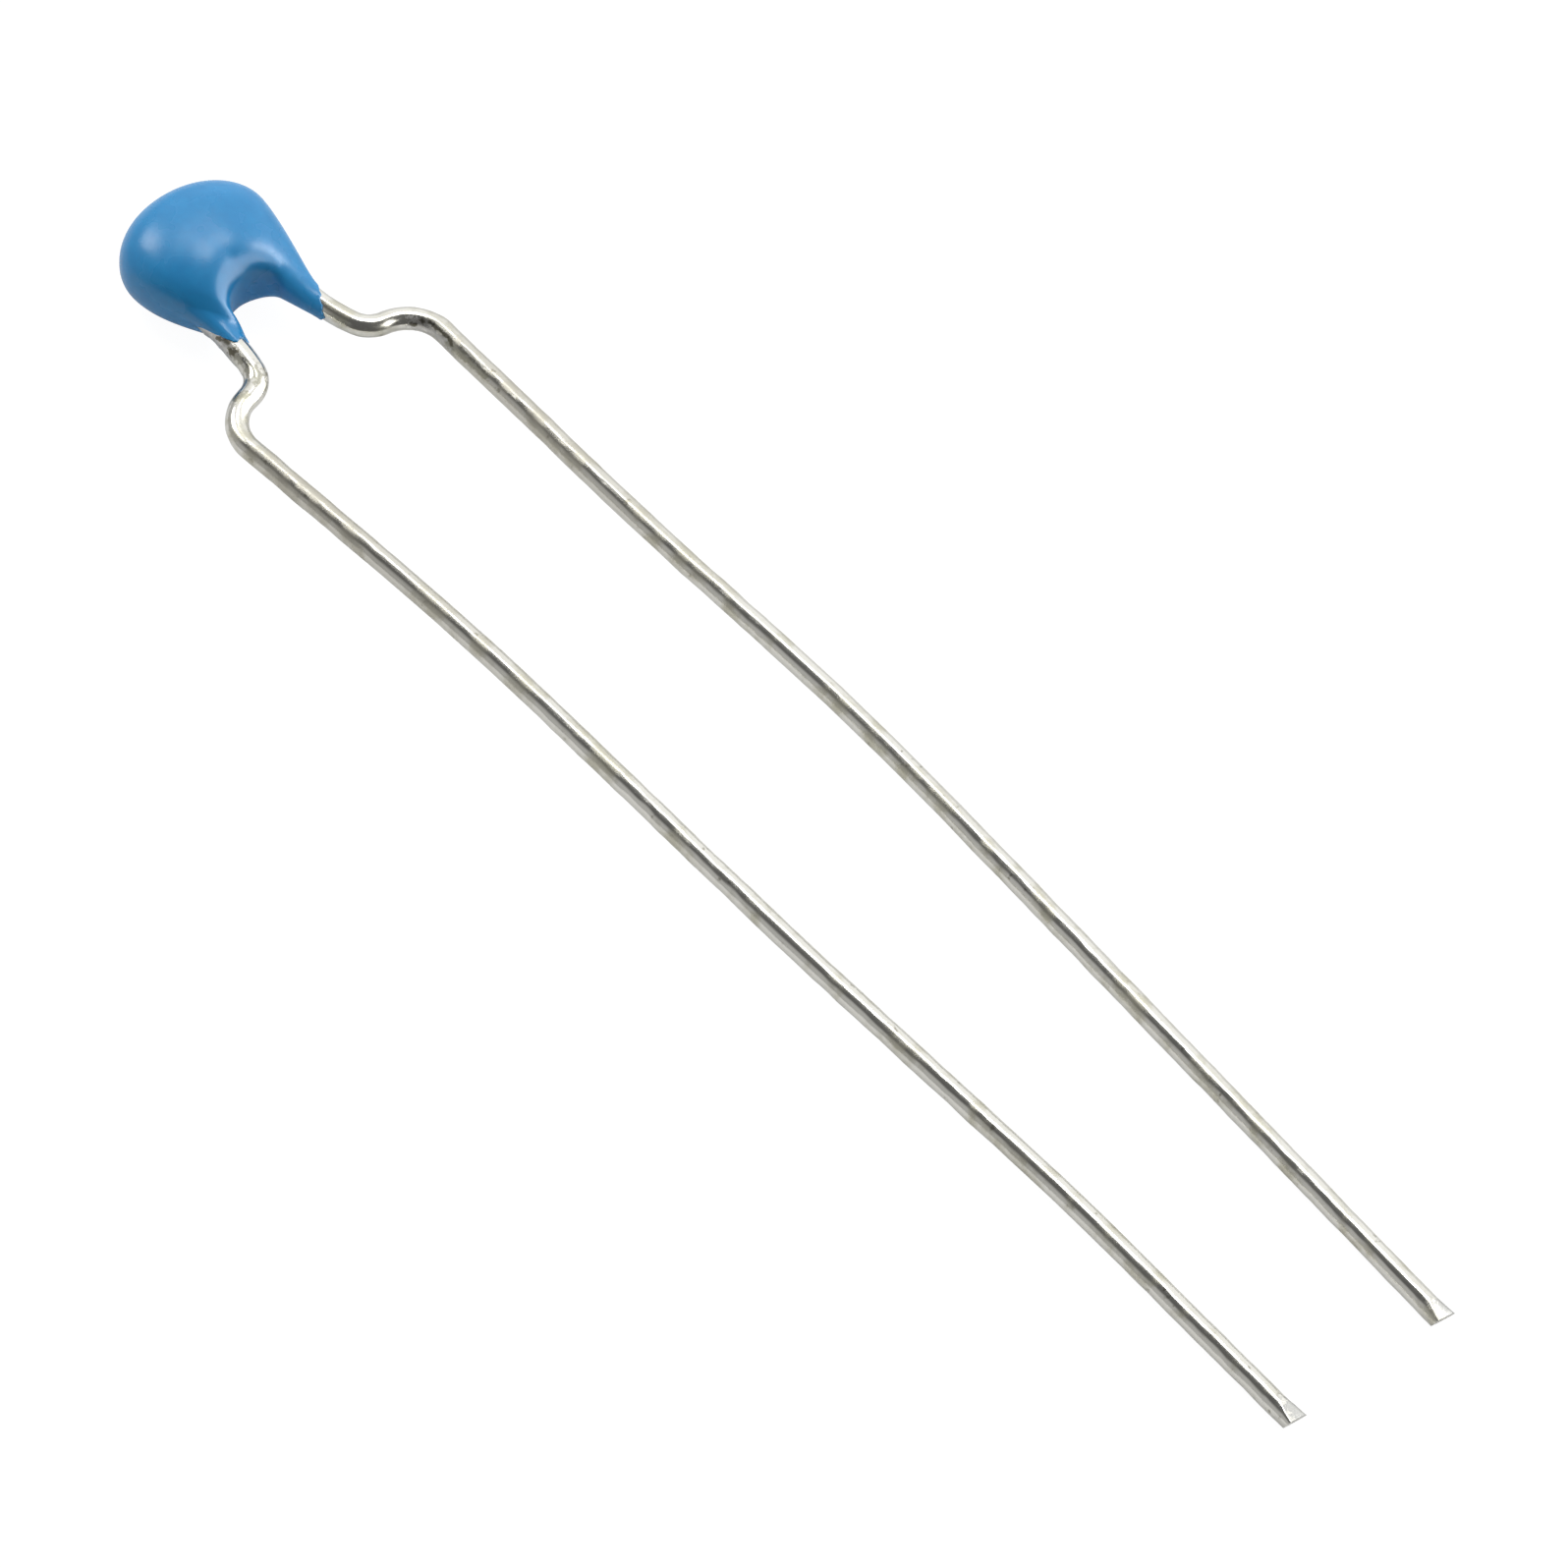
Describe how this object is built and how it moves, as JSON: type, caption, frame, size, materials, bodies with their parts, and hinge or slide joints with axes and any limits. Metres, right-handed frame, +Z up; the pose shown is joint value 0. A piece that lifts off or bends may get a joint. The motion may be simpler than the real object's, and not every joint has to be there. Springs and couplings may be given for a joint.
{
  "type": "multilayer ceramic capacitor",
  "caption": "Radial-lead ceramic capacitor: small blue epoxy-dipped body, with tinned wire leads kinked outwards below it, lying flat.",
  "frame": {"origin": "bottom centre of the bounding box, on the surface that the part lies on", "axes": "+X along the leads towards their tips, +Y from the left lead to the right one, +Z up, through the coating's thickness"},
  "size_m": [0.0392, 0.0058, 0.0019],
  "materials": {
    "blue_epoxy": "glossy dipped epoxy",
    "tinned_wire": "bright tin over the drawn wire, with faint draw marks",
    "solder": "satin solder",
    "termination_metal": "matt tin plating",
    "dielectric_ceramic": "fired, matt",
    "electrode_metal": "fired nickel"
  },
  "bodies": {
    "root": {"coating": "blue_epoxy", "lead_wire_left": "tinned_wire", "lead_wire_right": "tinned_wire", "solder_joint_left": "solder", "solder_joint_right": "solder", "end_termination_left": "termination_metal", "end_termination_right": "termination_metal", "ceramic_block": "dielectric_ceramic", "electrode_left_1": "electrode_metal", "electrode_left_2": "electrode_metal", "electrode_left_3": "electrode_metal", "electrode_left_4": "electrode_metal", "electrode_left_5": "electrode_metal", "electrode_left_6": "electrode_metal", "electrode_left_7": "electrode_metal", "electrode_left_8": "electrode_metal", "electrode_right_1": "electrode_metal", "electrode_right_2": "electrode_metal", "electrode_right_3": "electrode_metal", "electrode_right_4": "electrode_metal", "electrode_right_5": "electrode_metal", "electrode_right_6": "electrode_metal", "electrode_right_7": "electrode_metal", "electrode_right_8": "electrode_metal"}
  },
  "joints": []
}
